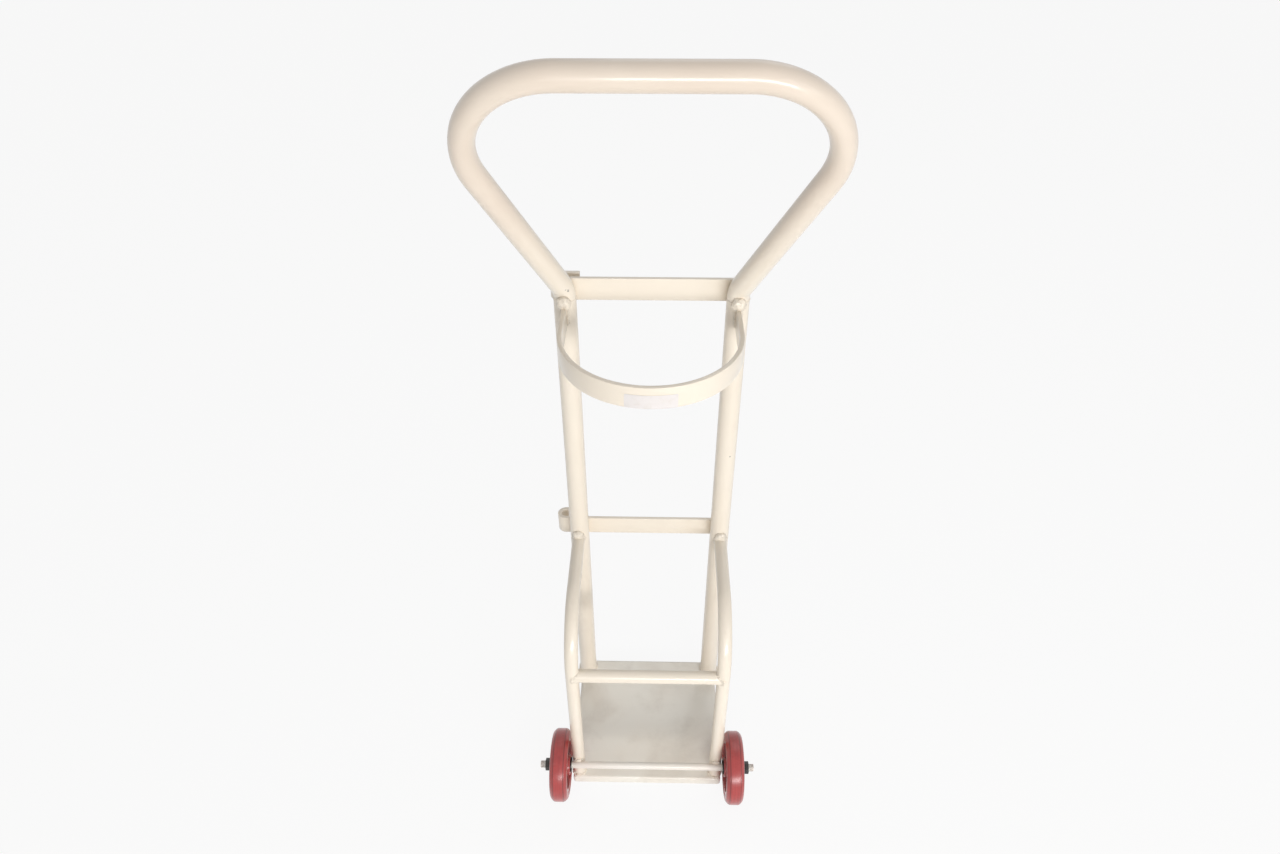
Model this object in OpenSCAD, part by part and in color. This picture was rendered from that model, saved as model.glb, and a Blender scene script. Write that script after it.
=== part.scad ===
// Gas cylinder trolley: a welded tube frame with a handle bow, a hoop for the
// cylinder, a folded base tray and two wheels on one axle in front of the legs.
// Millimetres, +Z up, the user stands on the -Y side. The origin is on the
// floor, under the middle of the overall box.

/* [Uprights] */
// Height of the uprights' axes above the floor, up to where the bow's arms leave them
frame_h = 694; // [600:1:800]
// Distance between the axes of the two uprights
upright_spacing = 190; // [170:1:230]
// Outside diameter of the main tube, for the uprights and the bow
tube_d = 25.4; // [20:0.1:32]
// Wall of the main tube
tube_wall = 1.6; // [1.2:0.1:3]

/* [Handle bow] */
// Length of the bow along its own plane, from the roots to the grip's axis
bow_rise = 295; // [265:1:345]
// Widest distance between the bow's axes
bow_width = 328; // [305:1:390]
// Bend radius of the bow's two top corners, at the tube's axis
bow_corner_r = 88; // [60:1:104]
// Bend radius at the roots of the bow, at the tube's axis
bow_root_r = 32; // [24:1:44]
// Lean of the bow towards the user, in degrees
bow_lean = 27; // [10:1:35]

/* [Flat bars] */
// Height of the two flat crossbars
crossbar_h = 27; // [20:1:32]
// Thickness of all flat bars
bar_t = 5; // [3:0.5:8]
// Distance from the bow's roots down to the upper crossbar's middle
upper_bar_drop = 7.5; // [4:0.5:40]
// Height of the lower crossbar's middle above the axes of the legs' level stretches
lower_bar_rise = 2; // [-10:0.5:20]
// Length of crossbar beyond the right upright's axis
bar_past_right = 8; // [4:1:20]
// Reach of the upper hook beyond the left upright's axis
upper_hook_reach = 18; // [15:0.5:40]
// Reach of the lower hook beyond the left upright's axis
lower_hook_reach = 31.5; // [24:0.5:50]
// Clear gap inside the upper hook
upper_hook_gap = 8; // [6:0.5:12]
// Clear gap inside the lower hook
lower_hook_gap = 12; // [8:0.5:14]
// Length of the upper hook's straight return leg
upper_hook_return = 24; // [10:1:40]
// Length of the lower hook's straight return leg
lower_hook_return = 3; // [2:1:20]

/* [Cylinder hoop] */
// Height of the hoop's band
hoop_h = 25; // [18:1:32]
// Distance from the bow's roots down to the hoop's top edge
hoop_drop = 14; // [14:0.5:80]
// Distance from the uprights' axes to the inside of the hoop's front
hoop_reach = 158; // [125:1:164]

/* [Front legs] */
// Distance between the axes of the two legs
leg_spacing = 192; // [180:1:230]
// Outside diameter of the leg tube and of the front cross tube
leg_d = 17; // [14:0.1:20]
// Wall of the leg tube and of the front cross tube
leg_wall = 1.2; // [1:0.1:2]
// Distance from the uprights' axes forward to the legs' axes
leg_set = 174; // [165:1:200]
// Height of the axis of the legs' level top stretch
leg_top_z = 315; // [290:1:350]
// Bend radius of the legs, at the tube's axis
leg_bend_r = 80; // [50:1:100]
// Height of the front cross tube's axis above the start of the legs' bends
cross_tube_rise = 2; // [-80:0.5:6]

/* [Base tray] */
// Height of the tray, from the floor to the face that carries the cylinder
tray_h = 12.5; // [8:0.5:20]
// Sheet thickness of the tray
tray_sheet = 2.5; // [1.5:0.5:4]
// Outside radius of the tray's folds and corners
tray_fold_r = 4; // [3:0.5:7]
// Tray in front of the legs' front sides
tray_front_lip = 3.5; // [0.5:0.5:10]
// Tray behind the uprights' back sides
tray_rear_lip = 0.5; // [0.5:0.5:10]
// Tray beyond the legs' outer sides, on each side
tray_side_lip = 0; // [0:0.5:3]

/* [Wheels and axle] */
// Outside diameter of the wheels
wheel_d = 96; // [80:1:120]
// Width of the tyre
tyre_w = 24; // [23:1:36]
// Chamfer on the tyre's two shoulders
tyre_chamfer = 5; // [2:0.5:8]
// Thickness of the tyre from the rim to the tread
tyre_depth = 12; // [8:0.5:20]
// Thickness of the rim under the tyre
rim_t = 4; // [2:0.5:6]
// Width of the rim, narrower than the tyre
rim_w = 22; // [16:1:24]
// Thickness of the disc between the hub and the rim
disc_t = 9; // [5:0.5:14]
// Outside diameter of the hub
hub_d = 26; // [20:1:34]
// Length of hub that stands out of the tyre on each side
hub_proud = 1; // [0.5:0.5:4]
// Diameter of the axle rod
axle_d = 9.5; // [6:0.5:12]
// Wall of the steel bush in the hub
bush_wall = 2; // [1:0.5:4]
// Outside diameter of the washers
washer_d = 20; // [17:0.5:25]
// Thickness of the washers
washer_t = 1.6; // [1:0.1:3]
// Distance across the flats of the axle nuts
nut_flats = 14.5; // [13.5:0.5:20]
// Thickness of the axle nuts
nut_t = 6.5; // [4:0.5:10]
// Length of thread that stands out of each nut
thread_tail = 7; // [2:0.5:12]

/* [Welds and fits] */
// Radius of the round weld puddles where the hoop and the legs meet the uprights
puddle_r = 6.5; // [4:0.5:8]
// Fit-up gap where a coped or butted end meets a round tube
weld_gap = 0.05; // [0.02:0.01:0.2]
// Radial running clearance of the bushes on the axle
running_gap = 0.05; // [0.02:0.01:0.1]
// Radial gap of pressed and screwed seats
seat_gap = 0.03; // [0.01:0.01:0.1]
// Radial gap of the washers on the axle
washer_gap = 0.25; // [0.1:0.05:0.6]
// End play between a hub's face and each of its washers
end_play = 0.3; // [0.2:0.1:1]
// Length by which the bow's straight stretches lap into its bends
lap = 0.8; // [0.5:0.1:1.5]
// Step between the walls of a straight stretch and of the bend that it laps into
lap_step = 0.15; // [0.1:0.01:0.3]

/* [Hidden] */
$fn = 64;

LEFT = -1;
RIGHT = 1;
cream = [0.93, 0.89, 0.82];
red = [0.62, 0.20, 0.19];
steel = [0.60, 0.60, 0.60];

tube_r = tube_d / 2;
leg_r = leg_d / 2;
axle_r = axle_d / 2;
wheel_r = wheel_d / 2;
upright_x = upright_spacing / 2;
leg_x = leg_spacing / 2;

// Bow: its corner circle, and the arm from the root that is tangent to it
corner_x = bow_width / 2 - bow_corner_r;
corner_rise = bow_rise - bow_corner_r;
corner_away = norm([corner_x - upright_x, corner_rise]);
arm_angle = atan2(corner_x - upright_x, corner_rise) + asin(bow_corner_r / corner_away);
arm_length = sqrt(corner_away * corner_away - bow_corner_r * bow_corner_r);
root_angle = acos(cos(bow_lean) * cos(arm_angle));
root_heading = atan2(-sin(bow_lean) * cos(arm_angle), sin(arm_angle));
root_tangent = bow_root_r * tan(root_angle / 2);
upright_top_z = frame_h - root_tangent;

// Faces behind and in front of the uprights
bar_front_y = tube_r + weld_gap;
hoop_in_r = upright_x - bar_t / 2;
hoop_centre_y = hoop_in_r - hoop_reach;
hoop_top_z = frame_h - hoop_drop;
hoop_low_z = hoop_top_z - hoop_h;
hoop_weld_z = min(hoop_top_z, upright_top_z - puddle_r);
upper_bar_z = frame_h - upper_bar_drop;
lower_bar_z = leg_top_z + lower_bar_rise;

// Legs: where their bends start, and the cross tube between them
leg_bend_z = leg_top_z - leg_bend_r;
cross_tube_z = leg_bend_z + cross_tube_rise;

// Wheels, from the leg outwards
axle_y = -(leg_set + leg_r + weld_gap + axle_r);
axle_z = wheel_r;
washer_x = leg_x + leg_r + tray_side_lip;
hub_x = washer_x + washer_t + end_play;
hub_length = tyre_w + 2 * hub_proud;
wheel_x = hub_x + hub_length / 2;
outer_washer_x = hub_x + hub_length + end_play;
nut_x = outer_washer_x + washer_t;
axle_end_x = nut_x + nut_t + thread_tail;
rim_r = wheel_r - tyre_depth;
bush_in_r = axle_r + running_gap;
bush_out_r = bush_in_r + bush_wall;

// Tray under the feet of the uprights and legs
tray_w = 2 * (leg_x + leg_r + tray_side_lip);
tray_front_y = -(leg_set + leg_r + tray_front_lip);
tray_rear_y = tube_r + tray_rear_lip;

// The overall box runs from the wheels' fronts to the back of the rearmost hook
front_reach = wheel_r - axle_y;
hook_back = bar_front_y + 2 * bar_t + max(upper_hook_gap, lower_hook_gap);
rear_reach = max(hook_back, tray_rear_y);
uprights_y = (front_reach - rear_reach) / 2;

// Moves a piece from the uprights' plane to the part's origin
module in_place() {
    translate([0, uprights_y, 0]) children();
}

// A section of tube, or of the space that it fills when the wall is its radius
module tube_section(r, wall) {
    difference() {
        circle(r);
        if (wall < r) circle(r - wall);
    }
}

// A straight tube up the Z axis
module straight_tube(r, wall, length) {
    linear_extrude(length) tube_section(r, wall);
}

// A bent tube that starts up the Z axis and curves towards +X
module bent_tube(r, wall, bend_r, angle) {
    rotate([0, 0, 180])
        translate([-bend_r, 0, 0])
            rotate([90, 0, 0])
                rotate_extrude(angle = angle)
                    translate([bend_r, 0]) tube_section(r, wall);
}

// The space of one upright with some room round it, to cope other pieces with
module upright_space(side) {
    translate([side * upright_x, 0, 0]) cylinder(r = tube_r + weld_gap, h = upright_top_z);
}

module upright(side) {
    translate([side * upright_x, 0, tray_h]) straight_tube(tube_r, tube_wall, upright_top_z - tray_h);
}

// A straight stretch of the bow, whose wall laps a little way into the bends' walls
module bow_stretch(length) {
    translate([0, 0, -lap])
        straight_tube(tube_r - lap_step, tube_wall - 2 * lap_step, length + 2 * lap);
}

// One side of the bow: root bend, arm and top corner
module bow_side(side) {
    mirror([side == LEFT ? 1 : 0, 0, 0]) {
        translate([upright_x, 0, upright_top_z])
            rotate([0, 0, root_heading]) bent_tube(tube_r, tube_wall, bow_root_r, root_angle);
        in_bow_plane() translate([upright_x, 0, 0]) rotate([0, arm_angle, 0]) {
            translate([0, 0, root_tangent]) bow_stretch(arm_length - root_tangent);
            translate([0, 0, arm_length])
                rotate([0, 0, 180]) bent_tube(tube_r, tube_wall, bow_corner_r, 90 + arm_angle);
        }
    }
}

module in_bow_plane() {
    translate([0, 0, frame_h]) rotate([bow_lean, 0, 0]) children();
}

module handle_bow() {
    color(cream) in_place() {
        bow_side(LEFT);
        bow_side(RIGHT);
        in_bow_plane()
            translate([-corner_x, 0, bow_rise])
                rotate([0, 90, 0]) bow_stretch(2 * corner_x);
    }
}

module left_upright() {
    color(cream) in_place() upright(LEFT);
}

module right_upright() {
    color(cream) in_place() upright(RIGHT);
}

// A flat bar behind the uprights, bent back into a hook beyond the left one
module crossbar(middle_z, hook_reach, hook_gap, hook_return) {
    turn_x = -(upright_x + hook_reach) + hook_gap / 2 + bar_t;
    turn_y = bar_front_y + bar_t + hook_gap / 2;
    translate([0, 0, middle_z - crossbar_h / 2]) {
        translate([turn_x, bar_front_y, 0])
            cube([upright_x + bar_past_right - turn_x, bar_t, crossbar_h]);
        translate([turn_x, turn_y, 0])
            rotate([0, 0, 90])
                rotate_extrude(angle = 180)
                    translate([hook_gap / 2, 0]) square([bar_t, crossbar_h]);
        translate([turn_x, turn_y + hook_gap / 2, 0]) cube([hook_return, bar_t, crossbar_h]);
    }
}

module upper_crossbar() {
    color(cream) in_place() crossbar(upper_bar_z, upper_hook_reach, upper_hook_gap, upper_hook_return);
}

module lower_crossbar() {
    color(cream) in_place() crossbar(lower_bar_z, lower_hook_reach, lower_hook_gap, lower_hook_return);
}

// The hoop's band before its ends are coped: a half ring with straight sides
module hoop_band() {
    translate([0, 0, hoop_low_z]) {
        translate([0, hoop_centre_y, 0])
            rotate([0, 0, 180])
                rotate_extrude(angle = 180)
                    translate([hoop_in_r, 0]) square([bar_t, hoop_h]);
        for (side = [LEFT, RIGHT])
            translate([side * upright_x - bar_t / 2, hoop_centre_y, 0])
                cube([bar_t, -hoop_centre_y, hoop_h]);
    }
}

module cylinder_hoop() {
    color(cream) in_place() difference() {
        hoop_band();
        upright_space(LEFT);
        upright_space(RIGHT);
    }
}

// A leg before its end is coped: up from the tray, then back to the upright
module leg_run(side, wall) {
    foot_length = leg_bend_z - tray_h;
    translate([side * leg_x, -leg_set, tray_h]) {
        straight_tube(leg_r, wall, foot_length);
        translate([0, 0, foot_length]) rotate([0, 0, 90]) bent_tube(leg_r, wall, leg_bend_r, 90);
    }
    translate([side * leg_x, leg_bend_r - leg_set, leg_top_z])
        rotate([-90, 0, 0]) straight_tube(leg_r, wall, leg_set - leg_bend_r);
}

module leg(side) {
    difference() {
        leg_run(side, leg_wall);
        upright_space(side);
    }
}

module left_leg() {
    color(cream) in_place() leg(LEFT);
}

module right_leg() {
    color(cream) in_place() leg(RIGHT);
}

module front_cross_tube() {
    color(cream) in_place() difference() {
        translate([-leg_x, -leg_set, cross_tube_z])
            rotate([0, 90, 0]) straight_tube(leg_r, leg_wall, leg_spacing);
        leg_run(LEFT, leg_r);
        leg_run(RIGHT, leg_r);
    }
}

// A run of weld metal is a ball seated on the pieces that it joins
module puddle(x, z) {
    translate([x, -tube_r, z]) sphere(puddle_r);
}

module hoop_welds() {
    color(cream) in_place() for (side = [LEFT, RIGHT]) difference() {
        puddle(side * upright_x, hoop_weld_z);
        upright_space(side);
        hoop_band();
    }
}

module leg_welds() {
    color(cream) in_place() for (side = [LEFT, RIGHT]) difference() {
        puddle(side * leg_x, leg_top_z + leg_r);
        upright_space(side);
        leg_run(side, leg_r);
    }
}

// A block on the floor with rounded upright corners and rounded top edges
module folded_block(x, y, z, r) {
    corners = [for (i = [-1, 1], j = [-1, 1]) [i * (x / 2 - r), j * (y / 2 - r)]];
    translate([-x / 2, r - y / 2, 0]) cube([x, y - 2 * r, z - r]);
    translate([r - x / 2, -y / 2, 0]) cube([x - 2 * r, y, z - r]);
    translate([r - x / 2, r - y / 2, 0]) cube([x - 2 * r, y - 2 * r, z]);
    for (corner = corners) translate([corner.x, corner.y, 0]) {
        cylinder(r = r, h = z - r);
        translate([0, 0, z - r]) sphere(r);
    }
    for (side = [-1, 1]) {
        translate([r - x / 2, side * (y / 2 - r), z - r])
            rotate([0, 90, 0]) cylinder(r = r, h = x - 2 * r);
        translate([side * (x / 2 - r), r - y / 2, z - r])
            rotate([-90, 0, 0]) cylinder(r = r, h = y - 2 * r);
    }
}

module base_tray() {
    tray_depth = tray_rear_y - tray_front_y;
    color(cream) in_place() translate([0, (tray_rear_y + tray_front_y) / 2, 0]) difference() {
        folded_block(tray_w, tray_depth, tray_h, tray_fold_r);
        folded_block(
            tray_w - 2 * tray_sheet, tray_depth - 2 * tray_sheet, tray_h - tray_sheet,
            tray_fold_r - tray_sheet
        );
    }
}

module on_axle(x) {
    translate([x, axle_y, axle_z]) rotate([0, 90, 0]) children();
}

module axle_rod() {
    color(cream) in_place() on_axle(-axle_end_x) cylinder(r = axle_r, h = 2 * axle_end_x);
}

module tyre(side) {
    half_w = tyre_w / 2;
    color(red) in_place() on_axle(side * wheel_x) rotate_extrude() polygon([
        [rim_r + seat_gap, -half_w],
        [wheel_r - tyre_chamfer, -half_w],
        [wheel_r, tyre_chamfer - half_w],
        [wheel_r, half_w - tyre_chamfer],
        [wheel_r - tyre_chamfer, half_w],
        [rim_r + seat_gap, half_w]
    ]);
}

module left_tyre() {
    tyre(LEFT);
}

module right_tyre() {
    tyre(RIGHT);
}

// Rim, disc and hub in one turned section
module wheel_centre(side) {
    color(red) in_place() on_axle(side * wheel_x) rotate_extrude() {
        translate([rim_r - rim_t, -rim_w / 2]) square([rim_t, rim_w]);
        translate([hub_d / 2, -disc_t / 2]) square([rim_r - rim_t - hub_d / 2, disc_t]);
        translate([bush_out_r + seat_gap, -hub_length / 2])
            square([hub_d / 2 - bush_out_r - seat_gap, hub_length]);
    }
}

module left_wheel_centre() {
    wheel_centre(LEFT);
}

module right_wheel_centre() {
    wheel_centre(RIGHT);
}

module bush(side) {
    color(steel) in_place() on_axle(side * wheel_x)
        translate([0, 0, -hub_length / 2])
            straight_tube(bush_out_r, bush_wall, hub_length);
}

module left_bush() {
    bush(LEFT);
}

module right_bush() {
    bush(RIGHT);
}

// A pair of rings on the axle, one on each side, at the same place outwards
module axle_rings(x, thickness) {
    for (side = [LEFT, RIGHT])
        on_axle(side * (x + thickness / 2))
            linear_extrude(thickness, center = true) children();
}

module washer_section() {
    difference() {
        circle(d = washer_d);
        circle(axle_r + washer_gap);
    }
}

module inner_washers() {
    color(steel) in_place() axle_rings(washer_x, washer_t) washer_section();
}

module outer_washers() {
    color(steel) in_place() axle_rings(outer_washer_x, washer_t) washer_section();
}

module axle_nuts() {
    color(steel) in_place() axle_rings(nut_x, nut_t) difference() {
        circle(d = nut_flats / cos(30), $fn = 6);
        circle(axle_r + seat_gap);
    }
}

base_tray();
left_upright();
right_upright();
handle_bow();
upper_crossbar();
lower_crossbar();
cylinder_hoop();
left_leg();
right_leg();
front_cross_tube();
hoop_welds();
leg_welds();
axle_rod();
left_tyre();
left_wheel_centre();
left_bush();
right_tyre();
right_wheel_centre();
right_bush();
inner_washers();
outer_washers();
axle_nuts();
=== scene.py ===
"""Gas cylinder trolley in cream enamel: worked edges, welds and finishes on the CAD frame."""
import math

import bmesh
import bpy
from mathutils import Matrix, Vector, noise


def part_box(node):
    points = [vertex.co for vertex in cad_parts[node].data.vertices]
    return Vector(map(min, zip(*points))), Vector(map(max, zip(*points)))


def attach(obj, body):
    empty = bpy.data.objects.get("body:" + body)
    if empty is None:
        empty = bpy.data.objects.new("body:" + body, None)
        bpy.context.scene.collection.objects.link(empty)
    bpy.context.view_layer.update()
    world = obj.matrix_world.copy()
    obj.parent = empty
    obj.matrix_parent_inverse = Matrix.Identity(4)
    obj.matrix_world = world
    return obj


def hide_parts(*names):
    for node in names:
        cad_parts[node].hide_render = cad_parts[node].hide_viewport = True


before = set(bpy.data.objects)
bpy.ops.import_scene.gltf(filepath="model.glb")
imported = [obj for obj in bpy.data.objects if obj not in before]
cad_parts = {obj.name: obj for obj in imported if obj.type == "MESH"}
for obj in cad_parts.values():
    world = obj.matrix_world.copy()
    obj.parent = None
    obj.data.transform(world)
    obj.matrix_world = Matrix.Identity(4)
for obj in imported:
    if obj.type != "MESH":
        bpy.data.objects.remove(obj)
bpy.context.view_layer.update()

MM = 0.001
FULL_TURN = 2 * math.pi
LEFT, RIGHT = -1, 1
BELOW, ABOVE = -1, 1
ACROSS, BACK, UP = Vector((1, 0, 0)), Vector((0, 1, 0)), Vector((0, 0, 1))


# Places and sizes read from the frame

def middle(node):
    low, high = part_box(node)
    return (low + high) / 2


def span(node):
    low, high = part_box(node)
    return high - low


TUBE_R = span("right_upright").x / 2
UPRIGHT_X = middle("right_upright").x
UPRIGHT_Y = middle("right_upright").y
UPRIGHT_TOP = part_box("right_upright")[1].z
TRAY_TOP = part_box("base_tray")[1].z
LEG_R = span("right_leg").x / 2
LEG_X = middle("right_leg").x
LEG_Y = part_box("right_leg")[0].y + LEG_R
LEG_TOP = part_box("right_leg")[1].z - LEG_R
CROSS_TUBE = middle("front_cross_tube")
AXLE = middle("axle_rod")
AXLE_R = span("axle_rod").z / 2
AXLE_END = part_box("axle_rod")[1].x
NUT_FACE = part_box("axle_nuts")[1].x
HOOP_LOW, HOOP_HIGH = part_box("cylinder_hoop")
HOOP_R = HOOP_HIGH.x
HOOP_CENTRE_Y = HOOP_LOW.y + HOOP_R
BOW_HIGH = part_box("handle_bow")[1]
WHEEL_X = middle("right_tyre").x
TYRE_SHOULDER = 5 * MM
HALF_TREAD = span("right_tyre").x / 2 - TYRE_SHOULDER


# Shader maths

# Sockets of a Mix node when it mixes colours
MIX_FACTOR, MIX_FIRST, MIX_SECOND = 0, 6, 7
MIX_RESULT = 2


class Amount:
    """A shader value that takes part in Python arithmetic by adding Math nodes."""

    def __init__(self, nodes, socket):
        self.nodes = nodes
        self.socket = socket

    def combine(self, operation, first, second):
        node = self.nodes.node("ShaderNodeMath", {"operation": operation}, {0: first, 1: second})
        return Amount(self.nodes, node.outputs["Value"])

    def __add__(self, other):
        return self.combine("ADD", self, other)

    __radd__ = __add__

    def __sub__(self, other):
        return self.combine("SUBTRACT", self, other)

    def __rsub__(self, other):
        return self.combine("SUBTRACT", other, self)

    def __mul__(self, other):
        return self.combine("MULTIPLY", self, other)

    __rmul__ = __mul__

    def __abs__(self):
        return self.combine("ABSOLUTE", self, 0)


class Nodes:
    """The nodes of a material or of the world: adds them, sets them and links them."""

    def __init__(self, tree):
        self.tree = tree

    def node(self, kind, settings=None, sockets=None):
        made = self.tree.nodes.new(kind)
        for key, value in (settings or {}).items():
            setattr(made, key, value)
        for key, value in (sockets or {}).items():
            self.feed(made.inputs[key], value)
        return made

    def feed(self, socket, value):
        if isinstance(value, Amount):
            value = value.socket
        if isinstance(value, bpy.types.NodeSocket):
            self.tree.links.new(value, socket)
        else:
            socket.default_value = value

    def seen(self):
        """One where the camera or a reflection looks, and nothing for other rays."""
        path = self.node("ShaderNodeLightPath")
        either = self.node("ShaderNodeMath", {"operation": "MAXIMUM"}, {
            0: path.outputs["Is Camera Ray"], 1: path.outputs["Is Glossy Ray"]})
        return Amount(self, either.outputs["Value"])


class Finish(Nodes):
    """A surface finish in the making, which feeds the surface shader."""

    def __init__(self, name):
        self.material = bpy.data.materials.new(name)
        self.material.use_nodes = True
        super().__init__(self.material.node_tree)
        self.shader = self.tree.nodes["Principled BSDF"]
        self.place = self.node("ShaderNodeTexCoord").outputs["Object"]

    def surface(self, **sockets):
        """Sets the shader's sockets, which are named in small letters with underscores."""
        for key, value in sockets.items():
            socket = key.replace("_", " ").title().replace("Ior", "IOR")
            self.feed(self.shader.inputs[socket], value)

    def stretched(self, scale, turn=(0, 0, 0)):
        node = self.node("ShaderNodeMapping", sockets={
            "Vector": self.place, "Rotation": turn, "Scale": scale})
        return node.outputs["Vector"]

    def noise(self, per_metre, detail=3.0, rough=0.5, bend=0.0, at=None):
        node = self.node("ShaderNodeTexNoise", sockets={
            "Vector": at or self.place, "Scale": per_metre, "Detail": detail,
            "Roughness": rough, "Distortion": bend})
        return Amount(self, node.outputs["Fac"])

    def along(self, axis):
        node = self.node("ShaderNodeSeparateXYZ", sockets={"Vector": self.place})
        return Amount(self, node.outputs[axis])

    def step(self, amount, low, high):
        node = self.node("ShaderNodeMapRange", {"interpolation_type": "SMOOTHSTEP"}, {
            "Value": amount, "From Min": low, "From Max": high})
        return Amount(self, node.outputs["Result"])

    def mix(self, factor, first, second):
        node = self.node("ShaderNodeMix", {"data_type": "RGBA"}, {
            MIX_FACTOR: factor, MIX_FIRST: first, MIX_SECOND: second})
        return node.outputs[MIX_RESULT]

    def relief(self, height, depth_mm, strength):
        node = self.node("ShaderNodeBump", sockets={
            "Height": height, "Distance": depth_mm * MM, "Strength": strength})
        self.feed(self.shader.inputs["Normal"], node.outputs["Normal"])


# Finishes

CREAM = (0.885, 0.800, 0.680, 1)
CREAM_WARM = (0.850, 0.745, 0.610, 1)
CREAM_PALE = (0.900, 0.855, 0.790, 1)
# Greyer copy of the cream for the tray: a painted cool cast that stands for the light on its
# upturned top
CREAM_COOL_LIT = (0.890, 0.855, 0.775, 1)
# Darker, warmer tone for the top of the bow: hand wear and painted shade
HANDLED_AND_SHADED = (0.730, 0.600, 0.500, 1)
GRIME = (0.330, 0.260, 0.190, 1)
BARE_STEEL = (0.210, 0.190, 0.175, 1)
STAIN = (0.560, 0.470, 0.380, 1)
MAROON = (0.450, 0.055, 0.052, 1)
MAROON_DARK = (0.250, 0.026, 0.026, 1)
# Dark line painted into the tyre creases as shade
CREASE_SHADE = (0.050, 0.012, 0.012, 1)
WHEEL_DUST = (0.660, 0.330, 0.300, 1)
ZINC = (0.400, 0.390, 0.370, 1)
OILED_STEEL = (0.060, 0.058, 0.056, 1)
RUST = (0.100, 0.052, 0.034, 1)
LABEL_WHITE = (0.790, 0.745, 0.725, 1)
LABEL_AGED = (0.700, 0.645, 0.590, 1)

# Heights in metres: hand wear and painted shade darken the bow from the first up to the second,
# dirt lies below the third
HANDLED_SHADE_FROM, HANDLED_SHADE_FULL = 0.70, 0.86
DIRT_TOP = 0.09
# Scuffs run across the tray, and the mould leaves rings round the wheels
SCUFF_STRETCH, SCUFF_TURN = (1.0, 14.0, 1.0), (0, 0, 0.5)
RING_STRETCH = (24.0, 0.5, 0.5)
# Painted shade in a tyre's crease is full up to the first distance and gone at the second
CREASE_SHADE_FULL, CREASE_SHADE_GONE = 0.3 * MM, 1.1 * MM


def enamel_finish(name, base=CREAM, stain_share=0.0):
    """Sprayed gloss enamel: orange peel, a handled tone with painted shade on the top of the bow,
    dirt low down, a few chips.
    """
    f = Finish(name)
    height = f.along("Z")
    patches = f.step(f.noise(per_metre=9, detail=2), 0.30, 0.75)
    colour = f.mix(patches * 0.3, base, CREAM_WARM)
    # Painted shade: the enamel darkens and warms towards the top of the bow, for the dimmer light
    # there as well as hand wear
    handled_and_shaded = f.step(height, HANDLED_SHADE_FROM, HANDLED_SHADE_FULL) * (0.45 + 0.20 * patches)
    colour = f.mix(handled_and_shaded, colour, HANDLED_AND_SHADED)
    low_down = f.step(height, DIRT_TOP, 0.0)
    smears = f.step(f.noise(per_metre=28, detail=5, rough=0.6), 0.48, 0.85)
    grime = smears * (0.03 + 0.18 * low_down)
    colour = f.mix(grime, colour, GRIME)
    if stain_share:
        spills = f.step(f.noise(per_metre=12, detail=4, bend=0.4), 0.48, 0.74)
        colour = f.mix(spills * stain_share, colour, STAIN)
        dragged = f.stretched(SCUFF_STRETCH, SCUFF_TURN)
        streaks = f.noise(per_metre=30, detail=6, rough=0.7, bend=0.2, at=dragged)
        scuffs = f.step(streaks, 0.62, 0.70)
        colour = f.mix(scuffs * (0.3 * stain_share), colour, GRIME)
    chips = f.step(f.noise(per_metre=95, detail=5, rough=0.55), 0.765, 0.780)
    colour = f.mix(chips * 0.7, colour, BARE_STEEL)
    peel = f.noise(per_metre=420, detail=2, rough=0.45)
    sags = f.noise(per_metre=55, detail=2)
    f.surface(base_color=colour, roughness=0.26 + 0.08 * sags + 0.25 * chips + 0.3 * grime,
              specular_ior_level=0.5, coat_weight=0.35, coat_roughness=0.05)
    f.relief(peel * 0.3 + sags * 0.8 - chips * 0.8, depth_mm=0.10, strength=0.5)
    return f.material


def weld_finish():
    """Weld metal under the same enamel: coarser skin and dirt held in its hollows."""
    f = Finish("enamel_on_weld")
    hollows = f.step(f.noise(per_metre=230, rough=0.55), 0.56, 0.38)
    f.surface(base_color=f.mix(hollows * 0.22, CREAM, GRIME), roughness=0.30 + 0.15 * hollows,
              coat_weight=0.3, coat_roughness=0.15)
    f.relief(f.noise(per_metre=520) * 0.6 - hollows, depth_mm=0.5, strength=0.8)
    return f.material


def wheel_finish(name, base_rough):
    """Maroon moulded wheel: rings left by the mould, darker worn patches, dust in the pores and
    painted shade in the creases.
    """
    f = Finish(name)
    moulded = f.noise(per_metre=40, detail=4, rough=0.6, at=f.stretched(RING_STRETCH))
    rings = f.step(moulded, 0.35, 0.70)
    worn = f.step(f.noise(per_metre=60, detail=6, rough=0.6), 0.40, 0.70)
    colour = f.mix(worn * 0.25 + rings * 0.4, MAROON, MAROON_DARK)
    dust = f.step(f.noise(per_metre=150, detail=8, rough=0.7), 0.52, 0.85)
    colour = f.mix(dust * 0.15, colour, WHEEL_DUST)
    off_crease = abs(abs(abs(f.along("X")) - WHEEL_X) - HALF_TREAD)
    # Painted shade: a dark line in the creases between tread and shoulders
    crease_shade = f.step(off_crease, CREASE_SHADE_GONE, CREASE_SHADE_FULL)
    colour = f.mix(crease_shade * 0.5, colour, CREASE_SHADE)
    skin = f.noise(per_metre=700, rough=0.6)
    f.surface(base_color=colour, roughness=base_rough + 0.15 * dust, specular_ior_level=0.4,
              coat_weight=0.5, coat_roughness=0.24)
    f.relief(skin * 0.4 + worn * 0.4 + rings * 0.6, depth_mm=0.15, strength=0.5)
    return f.material


def steel_finish(name, base):
    """Fastener steel with rust starting in patches."""
    f = Finish(name)
    rust = f.step(f.noise(per_metre=240, detail=6, rough=0.65), 0.52, 0.70)
    f.surface(base_color=f.mix(rust * 0.7, base, RUST), metallic=1 - rust * 0.7,
              roughness=0.34 + 0.3 * rust)
    f.relief(f.noise(per_metre=1500) + rust, depth_mm=0.06, strength=0.5)
    return f.material


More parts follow.
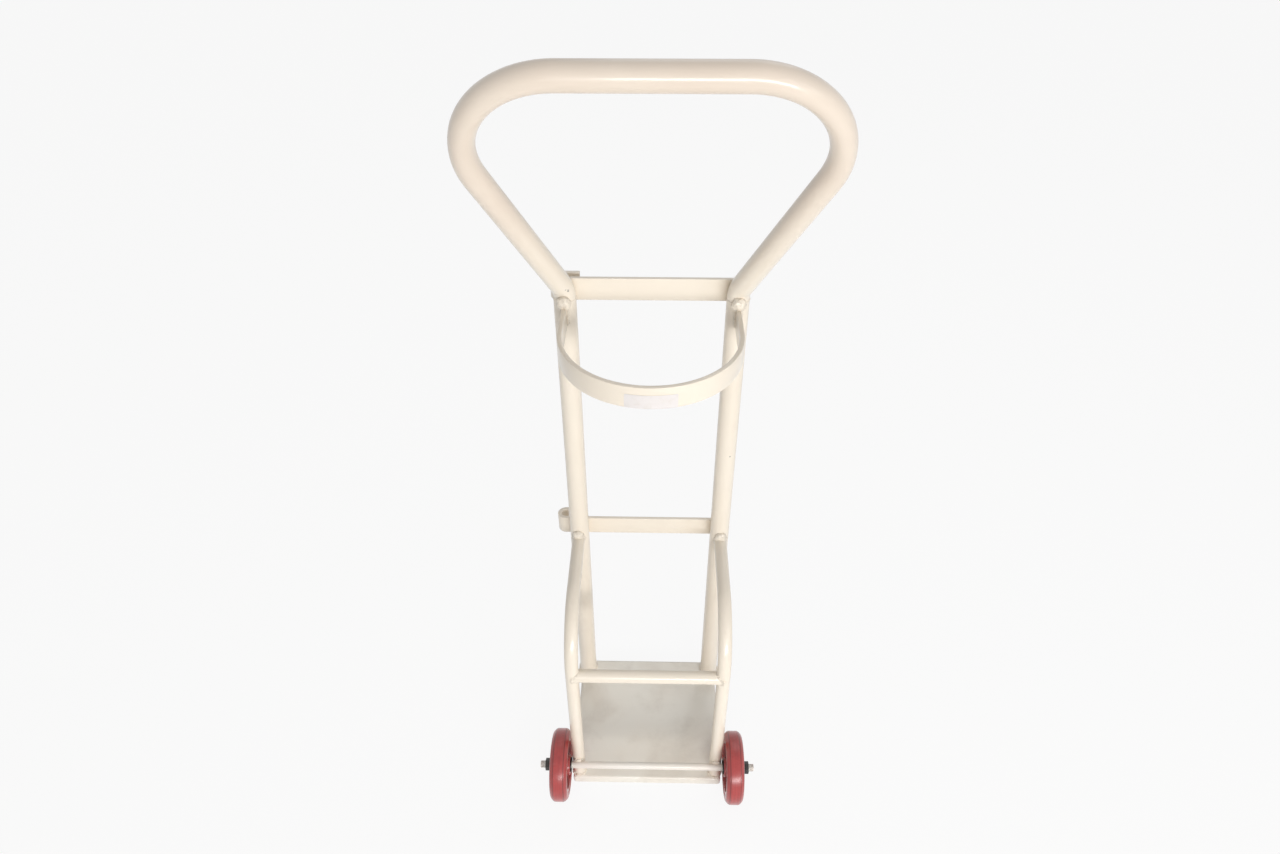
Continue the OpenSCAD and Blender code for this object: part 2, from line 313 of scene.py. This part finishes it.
def label_finish():
    """Bare white vinyl, aged towards cream."""
    f = Finish("bare_label")
    aged = f.step(f.noise(per_metre=130, detail=5), 0.45, 0.8)
    f.surface(base_color=f.mix(aged * 0.5, LABEL_WHITE, LABEL_AGED), roughness=0.34 + 0.1 * aged)
    f.relief(f.noise(per_metre=260), depth_mm=0.05, strength=0.4)
    return f.material


ENAMEL = enamel_finish("cream_enamel")
# The tray's enamel is a greyer copy of the cream, painted to stand for the cooler light on its top
TRAY_ENAMEL = enamel_finish("tray_enamel", CREAM_COOL_LIT, stain_share=0.3)
AXLE_ENAMEL = enamel_finish("axle_enamel", CREAM_PALE)
WELD = weld_finish()
TYRE_RUBBER = wheel_finish("maroon_rubber", base_rough=0.30)
WHEEL_PLASTIC = wheel_finish("maroon_plastic", base_rough=0.26)
DULL_ZINC = steel_finish("dull_zinc", ZINC)
DARK_STEEL = steel_finish("oiled_dark_steel", OILED_STEEL)
LABEL = label_finish()


# Pieces

# Angles in degrees from which an edge is shaded sharp
SHARP_FROM, WELD_SHARP_FROM, THREAD_SHARP_FROM = 38, 80, 30
CAD_MERGE = 0.002 * MM
SPIN_MERGE = 0.01 * MM
FLAT_WITHIN = math.radians(0.6)
WORKED_FROM = math.radians(40)
WORKED_SEGMENTS = 3


def put_in_scene(name, data):
    made = bpy.data.objects.new(name, data)
    bpy.context.scene.collection.objects.link(made)
    return made


def piece(name, bm, finish, body, sharp_from=SHARP_FROM):
    """Makes an object of a bmesh, smooth but for its sharp edges, and lets it ride on a body."""
    mesh = bpy.data.meshes.new(name)
    bm.to_mesh(mesh)
    bm.free()
    mesh.shade_smooth()
    mesh.set_sharp_from_angle(angle=math.radians(sharp_from))
    mesh.materials.append(finish)
    made = put_in_scene(name, mesh)
    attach(made, body)
    return made


def round_edges(bm, edges, offset, segments):
    bmesh.ops.bevel(bm, geom=edges, offset=offset, offset_type="OFFSET", affect="EDGES",
                    segments=segments, profile=0.5, clamp_overlap=True, material=-1)


def worked(node, edge_mm, finish, body):
    """Stands for a CAD node with its sharp edges rounded as the shop leaves them."""
    bm = bmesh.new()
    bm.from_mesh(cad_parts[node].data)
    bmesh.ops.remove_doubles(bm, verts=bm.verts, dist=CAD_MERGE)
    bmesh.ops.dissolve_limit(bm, angle_limit=FLAT_WITHIN, verts=bm.verts, edges=bm.edges)
    edges = [e for e in bm.edges if e.is_manifold and e.calc_face_angle() > WORKED_FROM]
    round_edges(bm, edges, edge_mm * MM, WORKED_SEGMENTS)
    made = piece(node + "_worked", bm, finish, body)
    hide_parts(node)


FRAME_EDGES_MM = {
    "base_tray": 0.5, "upper_crossbar": 0.7, "lower_crossbar": 0.7, "cylinder_hoop": 0.7,
    "axle_rod": 0.6,
}
FRAME_FINISHES = {"base_tray": TRAY_ENAMEL, "axle_rod": AXLE_ENAMEL}
FASTENER_EDGES_MM = {"inner_washers": 0.3, "outer_washers": 0.3, "axle_nuts": 0.6}
HUB_EDGE_MM = 1.0
BUSH_EDGE_MM = 0.4

for node, edge_mm in FRAME_EDGES_MM.items():
    worked(node, edge_mm, FRAME_FINISHES.get(node, ENAMEL), "frame")
for node, edge_mm in FASTENER_EDGES_MM.items():
    worked(node, edge_mm, DARK_STEEL, "frame")
for side in ("left", "right"):
    worked(side + "_wheel_centre", HUB_EDGE_MM, WHEEL_PLASTIC, side + "_wheel")
    worked(side + "_bush", BUSH_EDGE_MM, DULL_ZINC, side + "_wheel")


# Tyres

TYRE_DEPTH = 12 * MM
TYRE_STEPS = 120
CREASE = 0.8 * MM
CREASE_ROUND = 0.25 * MM
CREASE_FROM = math.radians(20)
CREASE_SEGMENTS = 2
SHOULDER_ROUND = 2.2 * MM
SHOULDER_SEGMENTS = 5
BEAD_STEP = 1.0 * MM


def tyre(node, body):
    """A solid tyre turned from its section: flat tread, creases, round shoulders, a bead step."""
    outer, half_w = span(node).z / 2, span(node).x / 2
    bore = outer - TYRE_DEPTH
    shoulder_r = outer - TYRE_SHOULDER
    half_section = [
        (HALF_TREAD - CREASE, outer), (HALF_TREAD, outer - CREASE),
        (HALF_TREAD + CREASE, outer - CREASE), (half_w, shoulder_r),
        (half_w, bore + 3 * BEAD_STEP), (half_w - BEAD_STEP, bore + 2 * BEAD_STEP),
        (half_w - BEAD_STEP, bore)]
    section = half_section + [(-x, r) for x, r in reversed(half_section)]
    bm = bmesh.new()
    points = [bm.verts.new((x, 0, r)) for x, r in section]
    lines = [bm.edges.new((a, b)) for a, b in zip(points, points[1:] + points[:1])]
    bmesh.ops.spin(bm, geom=points + lines, cent=(0, 0, 0), axis=ACROSS, angle=FULL_TURN,
                   steps=TYRE_STEPS, use_merge=True)
    bmesh.ops.remove_doubles(bm, verts=bm.verts, dist=SPIN_MERGE)
    bmesh.ops.recalc_face_normals(bm, faces=bm.faces)
    shoulders = [e for e in bm.edges
                 if all(abs(v.co.yz.length - shoulder_r) < SPIN_MERGE for v in e.verts)]
    round_edges(bm, shoulders, SHOULDER_ROUND, SHOULDER_SEGMENTS)
    creases = [e for e in bm.edges if e.calc_face_angle() > CREASE_FROM]
    round_edges(bm, creases, CREASE_ROUND, CREASE_SEGMENTS)
    bmesh.ops.translate(bm, vec=middle(node), verts=bm.verts)
    made = piece(node + "_turned", bm, TYRE_RUBBER, body)
    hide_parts(node)


for side in ("left", "right"):
    tyre(side + "_tyre", side + "_wheel")


# Tubes

BOW_RISE = 295 * MM
BOW_LEAN = math.radians(27)
BOW_CORNER_R = 88 * MM
BOW_ROOT_R = 32 * MM
LEG_BEND_R = 80 * MM
TUBE_SIDES = 56
BEND_STEP = math.radians(3)
# A bend flattens the section by this share, which comes in over the bend's first quarter
# and goes out over its last
BEND_FLATTENING = 0.07
QUARTERS = 4


def pointing(axis):
    """The turn that takes +Z to an axis."""
    return UP.rotation_difference(Vector(axis)).to_matrix().to_4x4()


class TubeRun:
    """A round tube in the making: a ring that is carried along straights and round bends."""

    def __init__(self, at, heading, radius):
        self.bm = bmesh.new()
        self.at = Vector(at)
        self.heading = Vector(heading)
        turn = Matrix.Translation(self.at) @ pointing(self.heading)
        bmesh.ops.create_circle(self.bm, cap_ends=True, segments=TUBE_SIDES, radius=radius,
                                matrix=turn)
        self.ring = self.bm.verts[:] + self.bm.edges[:]

    def edges(self):
        return [part for part in self.ring if isinstance(part, bmesh.types.BMEdge)]

    def verts(self):
        return [part for part in self.ring if isinstance(part, bmesh.types.BMVert)]

    def straight(self, length):
        grown = bmesh.ops.extrude_edge_only(self.bm, edges=self.edges())["geom"]
        self.ring = [part for part in grown if not isinstance(part, bmesh.types.BMFace)]
        bmesh.ops.translate(self.bm, vec=self.heading * length, verts=self.verts())
        self.at += self.heading * length

    def bend(self, heading, bend_r):
        """Turns to a new heading. The section flattens in the bend, as a bender leaves it."""
        heading = Vector(heading)
        angle = self.heading.angle(heading)
        axis = self.heading.cross(heading).normalized()
        inwards = axis.cross(self.heading)
        centre = self.at + inwards * bend_r
        count = math.ceil(angle / BEND_STEP)
        bent = []
        for _ in range(count):
            self.ring = bmesh.ops.spin(self.bm, geom=self.ring, cent=centre, axis=axis,
                                       angle=angle / count, steps=1,
                                       use_merge=False)["geom_last"]
            bent.append(self.verts())
        for number, verts in enumerate(bent, 1):
            turn = Matrix.Rotation(angle * number / count, 3, axis)
            ease = min(1, QUARTERS * number / count, QUARTERS * (count - number) / count)
            self.flatten(verts, centre - turn @ inwards * bend_r, turn @ inwards, axis, ease)
        self.at = centre - Matrix.Rotation(angle, 3, axis) @ inwards * bend_r
        self.heading = heading

    def flatten(self, verts, centre, inwards, axis, ease):
        across = Matrix((inwards, axis, inwards.cross(axis))).to_4x4()
        space = across @ Matrix.Translation(-centre)
        squash = BEND_FLATTENING * ease
        bmesh.ops.scale(self.bm, vec=(1 - squash, 1 + squash / 2, 1), space=space, verts=verts)

    def finish(self, node):
        """Closes the far end and lets the tube stand for its CAD node."""
        bmesh.ops.edgeloop_fill(self.bm, edges=self.edges())
        bmesh.ops.recalc_face_normals(self.bm, faces=self.bm.faces)
        made = piece(node + "_tube", self.bm, ENAMEL, "frame")
        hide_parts(node)


def uprights():
    for side, name in ((LEFT, "left_upright"), (RIGHT, "right_upright")):
        run = TubeRun((side * UPRIGHT_X, UPRIGHT_Y, TRAY_TOP), UP, TUBE_R)
        run.straight(UPRIGHT_TOP - TRAY_TOP)
        run.finish(name)


def handle_bow():
    """Up from the right upright, out along its arm, round the grip and down to the left one."""
    corner_x = BOW_HIGH.x - TUBE_R - BOW_CORNER_R
    corner = Vector((corner_x - UPRIGHT_X, BOW_RISE - BOW_CORNER_R))
    arm_angle = math.atan2(corner.x, corner.y) + math.asin(BOW_CORNER_R / corner.length)
    arm_length = math.sqrt(corner.length_squared - BOW_CORNER_R ** 2)
    up_the_bow = UP * math.cos(BOW_LEAN) - BACK * math.sin(BOW_LEAN)
    right_arm = up_the_bow * math.cos(arm_angle) + ACROSS * math.sin(arm_angle)
    left_arm = up_the_bow * math.cos(arm_angle) - ACROSS * math.sin(arm_angle)
    arm_straight = arm_length - BOW_ROOT_R * math.tan(UP.angle(right_arm) / 2)

    run = TubeRun((UPRIGHT_X, UPRIGHT_Y, UPRIGHT_TOP), UP, TUBE_R)
    run.bend(right_arm, BOW_ROOT_R)
    run.straight(arm_straight)
    run.bend(-ACROSS, BOW_CORNER_R)
    run.straight(2 * corner_x)
    run.bend(-left_arm, BOW_CORNER_R)
    run.straight(arm_straight)
    run.bend(-UP, BOW_ROOT_R)
    run.finish("handle_bow")


def legs():
    for side, name in ((LEFT, "left_leg"), (RIGHT, "right_leg")):
        run = TubeRun((side * LEG_X, LEG_Y, TRAY_TOP), UP, LEG_R)
        run.straight(LEG_TOP - LEG_BEND_R - TRAY_TOP)
        run.bend(BACK, LEG_BEND_R)
        run.straight(UPRIGHT_Y - LEG_Y - LEG_BEND_R)
        run.finish(name)


def front_cross_tube():
    run = TubeRun((-LEG_X, CROSS_TUBE.y, CROSS_TUBE.z), ACROSS, LEG_R)
    run.straight(2 * LEG_X)
    run.finish("front_cross_tube")


uprights()
handle_bow()
legs()
front_cross_tube()


# Welds

# Ripples swell a bead by this share, and a slower swell of the same share goes round a ring
RIPPLE = 0.16
SLOW_RIPPLES, SLOW_PHASE = 7, 1.3
RING_SIDES, RING_STEPS = 10, 72
RING_RIPPLES, FOOT_RIPPLES, ROOT_RIPPLES = 22, 30, 36

# Radius of each bead
FOOT_BEAD = 2.2 * MM
LEG_FOOT_BEAD = 1.9 * MM
ROOT_BEAD = 0.5 * MM
CROSS_TUBE_BEAD = 1.5 * MM
LEG_TOP_BEAD = 1.7 * MM
SEAM_BEAD = 2.0 * MM

SEAM_SIDES, SEAM_STEPS = 12, 40
SEAM_RIPPLE = 3.2 * MM
SEAM_TAPER = 3.0
POLE_R = 0.05
HOOP_SEAM_OFF = 3.2 * MM
HOOP_SEAM_BELOW = 1 * MM
BAR_SEAM_OFF = 6.5 * MM
BAR_SEAM_OUT = 0.6 * MM

# Swell of the lumps, its scale, and its fractal's falloff, spacing and octaves
LUMP_SWELL, LUMP_SCALE = 0.12, 1.6
LUMP_FRACTAL = (0.8, 2.0, 3)
LUMP_SUBDIVISIONS = 4
AXLE_LUMP = Vector((5.5, 2.8, 3.0)) * MM
AXLE_LUMP_OUT = 0.5 * MM
AXLE_LUMP_OFF = 4.6 * MM
HOOP_PUDDLE = Vector((8.0, 5.5, 8.5)) * MM
HOOP_PUDDLE_RAISE = 4 * MM
HOOP_PUDDLE_OUT = 1.5 * MM
LEG_PUDDLE = Vector((7.5, 6.0, 8.5)) * MM


def add_to(whole, part, matrix):
    """Adds a finished part to a larger bmesh, turned and moved by a matrix."""
    bmesh.ops.transform(part, matrix=matrix, verts=part.verts)
    mesh = bpy.data.meshes.new("part")
    part.to_mesh(mesh)
    part.free()
    whole.from_mesh(mesh)
    bpy.data.meshes.remove(mesh)


def weld_ring(whole, at, axis, ring_r, bead_r, drape=None, ripples=RING_RIPPLES):
    """A rippled bead round the end of a tube. Drape gives a point's shift along the axis."""
    ring = bmesh.new()
    turn = Matrix.Translation((ring_r, 0, 0)) @ Matrix.Rotation(math.pi / 2, 4, "X")
    bmesh.ops.create_circle(ring, segments=RING_SIDES, radius=bead_r, matrix=turn)
    bmesh.ops.spin(ring, geom=ring.verts[:] + ring.edges[:], cent=(0, 0, 0), axis=UP,
                   angle=FULL_TURN, steps=RING_STEPS, use_merge=True)
    bmesh.ops.remove_doubles(ring, verts=ring.verts, dist=SPIN_MERGE)
    bmesh.ops.recalc_face_normals(ring, faces=ring.faces)
    for v in ring.verts:
        around = math.atan2(v.co.y, v.co.x)
        core = Vector((math.cos(around), math.sin(around), 0)) * ring_r
        quick = math.sin(ripples * around)
        slow = math.sin(SLOW_RIPPLES * around + SLOW_PHASE)
        v.co = core + (v.co - core) * (1 + RIPPLE * (quick + slow))
        if drape:
            v.co.z += drape(v.co.x, v.co.y)
    add_to(whole, ring, Matrix.Translation(at) @ pointing(axis))


def weld_seam(whole, start, end):
    """A rippled straight run of weld, thin at both ends."""
    start, end = Vector(start), Vector(end)
    run = end - start
    bead = bmesh.new()
    bmesh.ops.create_uvsphere(bead, u_segments=SEAM_SIDES, v_segments=SEAM_STEPS, radius=1)
    for v in bead.verts:
        along = v.co.z
        beat = 1 + RIPPLE * math.sin(along * run.length / 2 * FULL_TURN / SEAM_RIPPLE)
        sphere_r = max(POLE_R, math.sqrt(max(0.0, 1 - along ** 2)))
        full = min(1.0, SEAM_TAPER * (1 - abs(along))) / sphere_r
        v.co.x *= SEAM_BEAD * beat * full
        v.co.y *= SEAM_BEAD * beat * full
        v.co.z *= run.length / 2
    add_to(whole, bead, Matrix.Translation((start + end) / 2) @ pointing(run.normalized()))


def weld_lump(whole, at, size, seed):
    """A lump of weld metal left by a short stop of the torch."""
    lump = bmesh.new()
    bmesh.ops.create_icosphere(lump, subdivisions=LUMP_SUBDIVISIONS, radius=1)
    for v in lump.verts:
        rough = noise.fractal(v.co * LUMP_SCALE + ACROSS * seed, *LUMP_FRACTAL)
        v.co *= 1 + LUMP_SWELL * rough
    bmesh.ops.scale(lump, vec=size, verts=lump.verts)
    add_to(whole, lump, Matrix.Translation(at))


def on_round(radius, off=0.0):
    """How far a round surface lies before its axis, at a point beside the axis."""
    return lambda beside: -math.sqrt(max(0.0, radius ** 2 - (beside + off) ** 2))


def tube_welds(whole, side):
    """Rings at one side's feet, the bow's root, the cross tube's end and the leg's top."""
    x, leg_x = side * UPRIGHT_X, side * LEG_X
    weld_ring(whole, (x, UPRIGHT_Y, TRAY_TOP), UP, TUBE_R, FOOT_BEAD, ripples=FOOT_RIPPLES)
    weld_ring(whole, (leg_x, LEG_Y, TRAY_TOP), UP, LEG_R, LEG_FOOT_BEAD)
    weld_ring(whole, (x, UPRIGHT_Y, UPRIGHT_TOP), UP, TUBE_R, ROOT_BEAD, ripples=ROOT_RIPPLES)
    to_leg = on_round(LEG_R)
    weld_ring(whole, (leg_x, CROSS_TUBE.y, CROSS_TUBE.z), ACROSS * side, LEG_R, CROSS_TUBE_BEAD,
              drape=lambda ring_x, ring_y: to_leg(ring_y))
    to_upright = on_round(TUBE_R, leg_x - x)
    weld_ring(whole, (leg_x, UPRIGHT_Y, LEG_TOP), BACK, LEG_R, LEG_TOP_BEAD,
              drape=lambda ring_x, ring_y: to_upright(ring_x))


def bar_welds(whole, side):
    """Seams on both faces of the hoop's end, and two where each crossbar meets the upright."""
    x = side * UPRIGHT_X
    for edge in (LEFT, RIGHT):
        hoop_x = x + edge * HOOP_SEAM_OFF
        hoop_y = UPRIGHT_Y + on_round(TUBE_R)(HOOP_SEAM_OFF)
        weld_seam(whole, (hoop_x, hoop_y, HOOP_LOW.z - HOOP_SEAM_BELOW),
                  (hoop_x, hoop_y, HOOP_HIGH.z))
        for bar in ("upper_crossbar", "lower_crossbar"):
            low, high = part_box(bar)
            bar_x, bar_y = x + edge * BAR_SEAM_OFF, low.y - BAR_SEAM_OUT
            weld_seam(whole, (bar_x, bar_y, low.z), (bar_x, bar_y, min(high.z, UPRIGHT_TOP)))


def axle_welds(whole, side):
    """The two lumps that hold the axle on a leg's front."""
    for level in (BELOW, ABOVE):
        at = (side * LEG_X, LEG_Y - LEG_R - AXLE_LUMP_OUT, AXLE.z + level * AXLE_LUMP_OFF)
        weld_lump(whole, at, AXLE_LUMP, seed=side * 3 + level)


def frame_welds():
    """The beads and lumps of both sides, as one piece."""
    whole = bmesh.new()
    for side in (LEFT, RIGHT):
        tube_welds(whole, side)
        bar_welds(whole, side)
        axle_welds(whole, side)
    piece("frame_welds", whole, WELD, "frame", sharp_from=WELD_SHARP_FROM)


def weld_puddles(name, x, z, out, node, size):
    """The round puddles on the uprights' fronts, one on each side."""
    whole = bmesh.new()
    for side in (LEFT, RIGHT):
        weld_lump(whole, (side * x, UPRIGHT_Y - TUBE_R - out, z), size, seed=side * 5)
    made = piece(name, whole, WELD, "frame", sharp_from=WELD_SHARP_FROM)
    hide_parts(node)


frame_welds()
weld_puddles("hoop_puddles", UPRIGHT_X, HOOP_HIGH.z + HOOP_PUDDLE_RAISE, HOOP_PUDDLE_OUT,
             "hoop_welds", HOOP_PUDDLE)
weld_puddles("leg_puddles", LEG_X, LEG_TOP + LEG_R, 0, "leg_welds", LEG_PUDDLE)


# Axle threads

THREAD_PITCH = 1.25 * MM
THREAD_RISE = 0.18 * MM
THREAD_STEPS = 28
HALF_FLANK = 0.4 * THREAD_PITCH


def axle_threads():
    """The screw thread on the two tips of the axle, as a ridge that climbs round the rod."""
    whole = bmesh.new()
    turns = (AXLE_END - NUT_FACE) / THREAD_PITCH - 1
    root_r, crest_r = AXLE_R - THREAD_RISE, AXLE_R + THREAD_RISE
    for side in (LEFT, RIGHT):
        ridge = bmesh.new()
        outline = ((root_r, -HALF_FLANK), (crest_r, 0), (root_r, HALF_FLANK))
        ridge.faces.new([ridge.verts.new((r, 0, z)) for r, z in outline])
        bmesh.ops.spin(ridge, geom=ridge.faces[:], cent=(0, 0, 0), axis=UP,
                       angle=FULL_TURN * turns, steps=int(THREAD_STEPS * turns),
                       dvec=UP * (THREAD_PITCH / THREAD_STEPS))
        bmesh.ops.recalc_face_normals(ridge, faces=ridge.faces)
        start = Vector((side * (NUT_FACE + THREAD_PITCH / 2), AXLE.y, AXLE.z))
        add_to(whole, ridge, Matrix.Translation(start) @ pointing(ACROSS * side))
    piece("axle_threads", whole, DULL_ZINC, "frame", sharp_from=THREAD_SHARP_FROM)


axle_threads()


# Bare label on the front of the hoop

LABEL_SIZE = Vector((53, 16)) * MM
LABEL_X = 1.4 * MM
LABEL_RAISE = 0.4 * MM
LABEL_LIFT = 0.15 * MM
LABEL_THICKNESS = 0.12 * MM
LABEL_CORNER, LABEL_CORNER_SEGMENTS = 1.6 * MM, 3
LABEL_COLUMNS, LABEL_ROWS = 30, 6


def bare_label():
    """A blank white label that follows the hoop's curve, with rounded corners."""
    bm = bmesh.new()
    bmesh.ops.create_grid(bm, x_segments=LABEL_COLUMNS, y_segments=LABEL_ROWS, size=0.5)
    bmesh.ops.scale(bm, vec=(LABEL_SIZE.x, LABEL_SIZE.y, 1), verts=bm.verts)
    corners = [v for v in bm.verts if len(v.link_faces) == 1]
    bmesh.ops.bevel(bm, geom=corners, offset=LABEL_CORNER, offset_type="OFFSET",
                    affect="VERTICES", segments=LABEL_CORNER_SEGMENTS, profile=0.5, material=-1)
    out = HOOP_R + LABEL_LIFT
    for v in bm.verts:
        around = (v.co.x + LABEL_X) / HOOP_R
        up = HOOP_LOW.z + LABEL_RAISE + LABEL_SIZE.y / 2 + v.co.y
        v.co = Vector((out * math.sin(around), HOOP_CENTRE_Y - out * math.cos(around), up))
    bmesh.ops.recalc_face_normals(bm, faces=bm.faces)
    bmesh.ops.solidify(bm, geom=bm.faces[:], thickness=LABEL_THICKNESS)
    bmesh.ops.recalc_face_normals(bm, faces=bm.faces)
    piece("bare_label", bm, LABEL, "frame")


bare_label()


# Stage, light and camera

FLOOR_SIZE = 60
FLOOR_COLOUR = (0.86, 0.86, 0.85, 1)
FLOOR_GLOW = 0.89
WHITE = (1, 1, 1, 1)
WORLD_LIGHT = 0.42
BACKDROP_LIGHT = 0.99
LAMPS_AIM = Vector((0, 0, 0.40))

# Camera of the photograph, in the part's own frame
CAMERA_AT = Vector((4.1, -714.8, 1156.3)) * MM
CAMERA_PITCH = math.radians(38.74)
CAMERA_YAW = math.radians(-1.18)
CAMERA_ROLL = math.radians(-0.10)
PHOTO_WIDTH_PX = 1280
FOCAL_PX = 850
SENSOR_MM = 36


def pale_floor():
    """A white floor to the eye and in reflections, which still takes the object's shadow."""
    bm = bmesh.new()
    bmesh.ops.create_grid(bm, x_segments=1, y_segments=1, size=FLOOR_SIZE / 2)
    mesh = bpy.data.meshes.new("floor")
    bm.to_mesh(mesh)
    bm.free()
    f = Finish("pale_floor")
    f.surface(base_color=FLOOR_COLOUR, roughness=0.8, specular_ior_level=0.1)
    glow = f.node("ShaderNodeEmission", sockets={"Color": WHITE, "Strength": 1.0})
    blend = f.node("ShaderNodeMixShader", sockets={
        0: f.seen() * FLOOR_GLOW, 1: f.shader.outputs[0], 2: glow.outputs[0]})
    f.feed(f.tree.nodes["Material Output"].inputs["Surface"], blend.outputs[0])
    mesh.materials.append(f.material)
    floor = put_in_scene("floor", mesh)


def lamp(name, azimuth, elevation, away, wide, high, power):
    """A soft oblong lamp, placed by its direction and distance from the object."""
    data = bpy.data.lights.new(name, "AREA")
    data.shape = "RECTANGLE"
    data.size = wide
    data.size_y = high
    data.energy = power
    turn, rise = math.radians(azimuth), math.radians(elevation)
    offset = Vector((math.sin(turn) * math.cos(rise), -math.cos(turn) * math.cos(rise),
                     math.sin(rise)))
    made = put_in_scene(name, data)
    made.location = LAMPS_AIM + offset * away
    made.rotation_euler = offset.to_track_quat("Z", "Y").to_euler()


def studio():
    """Three soft lamps and a pale world, which shows white to the eye and in reflections."""
    lamp("key", azimuth=16, elevation=11, away=2.2, wide=1.6, high=0.45, power=30)
    lamp("fill", azimuth=50, elevation=25, away=2.8, wide=1.4, high=1.4, power=6)
    lamp("back", azimuth=165, elevation=50, away=2.6, wide=1.4, high=1.4, power=5)
    world = bpy.data.worlds.new("studio")
    bpy.context.scene.world = world
    world.use_nodes = True
    sky = Nodes(world.node_tree)
    light = sky.node("ShaderNodeBackground", sockets={"Color": WHITE, "Strength": WORLD_LIGHT})
    backdrop = sky.node("ShaderNodeBackground", sockets={
        "Color": WHITE, "Strength": BACKDROP_LIGHT})
    choice = sky.node("ShaderNodeMixShader", sockets={
        0: sky.seen(), 1: light.outputs[0], 2: backdrop.outputs[0]})
    sky.feed(sky.tree.nodes["World Output"].inputs["Surface"], choice.outputs[0])
    bpy.context.scene.view_settings.view_transform = "Standard"


def photo_camera():
    """The camera that took the photograph: its place, tilt and focal length."""
    forward = Vector((math.sin(CAMERA_YAW) * math.cos(CAMERA_PITCH),
                      math.cos(CAMERA_YAW) * math.cos(CAMERA_PITCH), -math.sin(CAMERA_PITCH)))
    level = Vector((math.cos(CAMERA_YAW), -math.sin(CAMERA_YAW), 0))
    lift = level.cross(forward)
    right = level * math.cos(CAMERA_ROLL) + lift * math.sin(CAMERA_ROLL)
    up = lift * math.cos(CAMERA_ROLL) - level * math.sin(CAMERA_ROLL)
    data = bpy.data.cameras.new("photo_camera")
    data.sensor_width = SENSOR_MM
    data.lens = FOCAL_PX * SENSOR_MM / PHOTO_WIDTH_PX
    made = put_in_scene("photo_camera", data)
    turn = Matrix((right, up, -forward)).transposed().to_4x4()
    made.matrix_world = Matrix.Translation(CAMERA_AT) @ turn
    bpy.context.scene.camera = made


pale_floor()
studio()
photo_camera()
